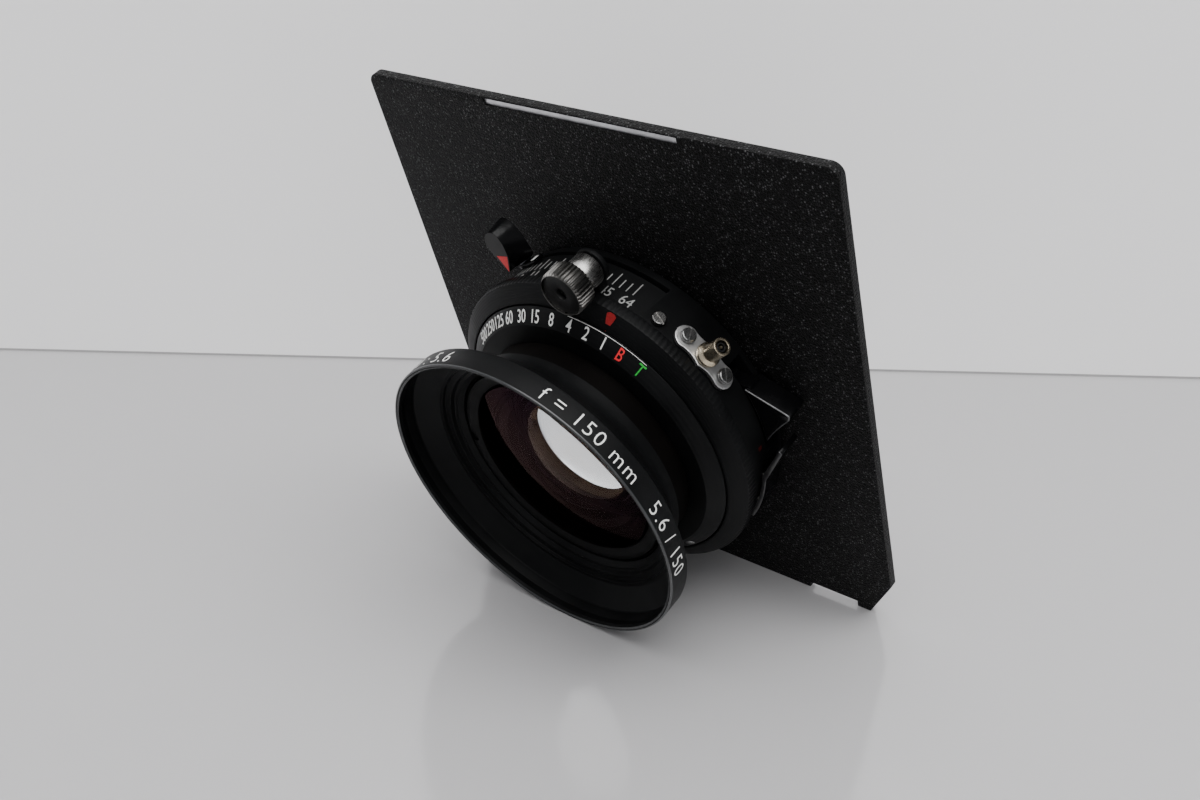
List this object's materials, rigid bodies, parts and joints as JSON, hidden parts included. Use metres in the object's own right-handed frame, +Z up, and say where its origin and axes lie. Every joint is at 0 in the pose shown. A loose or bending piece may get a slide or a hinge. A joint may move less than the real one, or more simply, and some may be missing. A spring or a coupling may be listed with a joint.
{
  "type": "large format lens in leaf shutter on lens board",
  "caption": "View camera taking lens in a leaf shutter with speed and aperture scales, levers, cable and flash sockets, mounted on a flat square lens board.",
  "frame": {"origin": "centre of the footprint of the tilted assembly, on the surface that it stands on", "axes": "+Z up; -Y the way the lens faces, tipped down; +X to the right as seen from the front of the lens"},
  "size_m": [0.096, 0.0646, 0.094],
  "materials": {
    "crinkle_paint": "black crinkle enamel on aluminium",
    "satin_black": "satin black anodised and painted aluminium",
    "gloss_black": "gloss black enamelled steel",
    "blued_steel": "thin blackened spring steel",
    "nickel": "satin nickel plate on brass",
    "steel": "plain machined steel",
    "brass": "machined brass",
    "coated_glass": "polished glass with an anti-reflection coating",
    "black_plastic": "matt black moulded plastic"
  },
  "bodies": {
    "shutter": {"lens_board": "crinkle_paint", "mounting_ring": "satin_black", "shutter_housing": "satin_black", "front_cover": "satin_black", "blade_plate": "steel", "mechanism_plate": "brass", "plate_screw_1": "steel", "plate_screw_2": "steel", "plate_screw_3": "steel", "mainspring": "steel", "cocking_pivot": "steel", "release_pivot": "steel", "release_socket": "nickel", "release_insert": "black_plastic", "side_screw": "nickel", "sync_plate": "nickel", "sync_screw_1": "nickel", "sync_screw_2": "nickel", "sync_shell": "brass", "sync_insulator": "black_plastic", "sync_pin": "brass", "front_cell": "satin_black", "front_hood": "satin_black", "front_retainer": "satin_black", "front_outer_glass": "coated_glass", "front_inner_glass": "coated_glass", "rear_barrel": "satin_black", "rear_inner_glass": "coated_glass", "rear_outer_glass": "coated_glass", "rear_retainer": "satin_black"},
    "speed_ring": {"speed_ring": "satin_black"},
    "aperture_lever": {"aperture_ring": "steel", "aperture_lever": "gloss_black"},
    "blade_drive": {"blade_drive_ring": "steel", "preview_tab": "gloss_black"},
    "cocking_lever": {"cocking_lever": "gloss_black"},
    "release_lever": {"release_lever": "gloss_black"},
    "release_collar": {"release_collar": "nickel"},
    "release_plunger": {"release_plunger": "steel"},
    "retard_gear_1": {"retard_gear_1": "brass"},
    "retard_gear_2": {"retard_gear_2": "brass"},
    "retard_escape_wheel": {"retard_escape_wheel": "brass"},
    "retard_anchor": {"retard_anchor": "steel"},
    "iris_blade_1": {"iris_blade_1": "blued_steel"},
    "shutter_blade_1": {"shutter_blade_1": "blued_steel"},
    "iris_blade_2": {"iris_blade_2": "blued_steel"},
    "shutter_blade_2": {"shutter_blade_2": "blued_steel"},
    "iris_blade_3": {"iris_blade_3": "blued_steel"},
    "shutter_blade_3": {"shutter_blade_3": "blued_steel"},
    "iris_blade_4": {"iris_blade_4": "blued_steel"},
    "shutter_blade_4": {"shutter_blade_4": "blued_steel"},
    "iris_blade_5": {"iris_blade_5": "blued_steel"},
    "shutter_blade_5": {"shutter_blade_5": "blued_steel"}
  },
  "joints": [
    {"name": "speed_ring_turn", "type": "hinge", "parent": "shutter", "child": "speed_ring", "pos_m": [0, -0.00107, 0.03594], "axis": [0, 0.9424, 0.3346], "range_deg": [-71.2, 16.4]},
    {"name": "aperture_lever_turn", "type": "hinge", "parent": "shutter", "child": "aperture_lever", "pos_m": [0, 0.00798, 0.03915], "axis": [0, 0.9424, 0.3346], "range_deg": [0, 56]},
    {"name": "preview_lever_turn", "type": "hinge", "parent": "shutter", "child": "blade_drive", "pos_m": [0, 0.0027, 0.03728], "axis": [0, 0.9424, 0.3346], "range_deg": [0, 22]},
    {"name": "cocking_lever_swing", "type": "hinge", "parent": "shutter", "child": "cocking_lever", "pos_m": [0.02382, 0.00324, 0.0498], "axis": [0, -0.9424, -0.3346], "range_deg": [0, 30]},
    {"name": "release_lever_press", "type": "hinge", "parent": "shutter", "child": "release_lever", "pos_m": [0.02206, 0.01164, 0.02525], "axis": [0, 0.9424, 0.3346], "range_deg": [0, 10], "stiffness_Nm_per_rad": 0.02, "springref_deg": -1.72},
    {"name": "release_plunger_press", "type": "slide", "parent": "shutter", "child": "release_plunger", "axis": [0, 0.9424, 0.3346], "range_m": [0, 0.0024], "stiffness_N_per_m": 60, "springref_m": -0.0004},
    {"name": "release_collar_turn", "type": "hinge", "parent": "shutter", "child": "release_collar", "pos_m": [0.0049, -0.0165, 0.06745], "axis": [0, 0.9424, 0.3346], "continuous": true},
    {"name": "retard_anchor_rock", "type": "hinge", "parent": "shutter", "child": "retard_anchor", "pos_m": [-0.01879, 0.00273, 0.02943], "axis": [0, 0.9424, 0.3346], "range_deg": [-5, 5]},
    {"name": "iris_blade_1_swing", "type": "hinge", "parent": "shutter", "child": "iris_blade_1", "pos_m": [0.00915, 0.00155, 0.05514], "axis": [0, 0.9424, 0.3346], "range_deg": [0, 35]},
    {"name": "iris_blade_2_swing", "type": "hinge", "parent": "shutter", "child": "iris_blade_2", "pos_m": [0.0192, 0.00812, 0.03561], "axis": [0, 0.9424, 0.3346], "range_deg": [0, 35]},
    {"name": "iris_blade_3_swing", "type": "hinge", "parent": "shutter", "child": "iris_blade_3", "pos_m": [0.00271, 0.01312, 0.02049], "axis": [0, 0.9424, 0.3346], "range_deg": [0, 35]},
    {"name": "iris_blade_4_swing", "type": "hinge", "parent": "shutter", "child": "iris_blade_4", "pos_m": [-0.01753, 0.00919, 0.03051], "axis": [0, 0.9424, 0.3346], "range_deg": [0, 35]},
    {"name": "iris_blade_5_swing", "type": "hinge", "parent": "shutter", "child": "iris_blade_5", "pos_m": [-0.01355, 0.0013, 0.05167], "axis": [0, 0.9424, 0.3346], "range_deg": [0, 35]},
    {"name": "shutter_blade_1_swing", "type": "hinge", "parent": "shutter", "child": "shutter_blade_1", "pos_m": [0.00356, -0.00208, 0.05701], "axis": [0, 0.9424, 0.3346], "range_deg": [0, 65]},
    {"name": "shutter_blade_2_swing", "type": "hinge", "parent": "shutter", "child": "shutter_blade_2", "pos_m": [0.0203, 0.00339, 0.04055], "axis": [0, 0.9424, 0.3346], "range_deg": [0, 65]},
    {"name": "shutter_blade_3_swing", "type": "hinge", "parent": "shutter", "child": "shutter_blade_3", "pos_m": [0.00899, 0.01018, 0.02038], "axis": [0, 0.9424, 0.3346], "range_deg": [0, 65]},
    {"name": "shutter_blade_4_swing", "type": "hinge", "parent": "shutter", "child": "shutter_blade_4", "pos_m": [-0.01475, 0.00845, 0.02421], "axis": [0, 0.9424, 0.3346], "range_deg": [0, 65]},
    {"name": "shutter_blade_5_swing", "type": "hinge", "parent": "shutter", "child": "shutter_blade_5", "pos_m": [-0.0181, 0.00014, 0.04658], "axis": [0, 0.9424, 0.3346], "range_deg": [0, 65]},
    {"name": "retard_gear_1_spin", "type": "hinge", "parent": "shutter", "child": "retard_gear_1", "pos_m": [-0.00557, 0.00712, 0.01824], "axis": [0, 0.9424, 0.3346], "range_deg": [-112, 0]},
    {"name": "retard_gear_2_spin", "type": "hinge", "parent": "shutter", "child": "retard_gear_2", "pos_m": [-0.01187, 0.00609, 0.02114], "axis": [0, 0.9424, 0.3346], "range_deg": [0, 143]},
    {"name": "retard_escape_wheel_spin", "type": "hinge", "parent": "shutter", "child": "retard_escape_wheel", "pos_m": [-0.01613, 0.00469, 0.02509], "axis": [0, 0.9424, 0.3346], "range_deg": [-200, 0]}
  ],
  "couplings": [
    {"joint": "iris_blade_1_swing", "follows": "aperture_lever_turn", "ratio": 0.62},
    {"joint": "iris_blade_2_swing", "follows": "aperture_lever_turn", "ratio": 0.62},
    {"joint": "iris_blade_3_swing", "follows": "aperture_lever_turn", "ratio": 0.62},
    {"joint": "iris_blade_4_swing", "follows": "aperture_lever_turn", "ratio": 0.62},
    {"joint": "iris_blade_5_swing", "follows": "aperture_lever_turn", "ratio": 0.62},
    {"joint": "shutter_blade_1_swing", "follows": "preview_lever_turn", "ratio": 2.9},
    {"joint": "shutter_blade_2_swing", "follows": "preview_lever_turn", "ratio": 2.9},
    {"joint": "shutter_blade_3_swing", "follows": "preview_lever_turn", "ratio": 2.9},
    {"joint": "shutter_blade_4_swing", "follows": "preview_lever_turn", "ratio": 2.9},
    {"joint": "shutter_blade_5_swing", "follows": "preview_lever_turn", "ratio": 2.9},
    {"joint": "retard_gear_1_spin", "follows": "preview_lever_turn", "ratio": -5},
    {"joint": "retard_gear_2_spin", "follows": "preview_lever_turn", "ratio": 6.4286},
    {"joint": "retard_escape_wheel_spin", "follows": "preview_lever_turn", "ratio": -9}
  ]
}
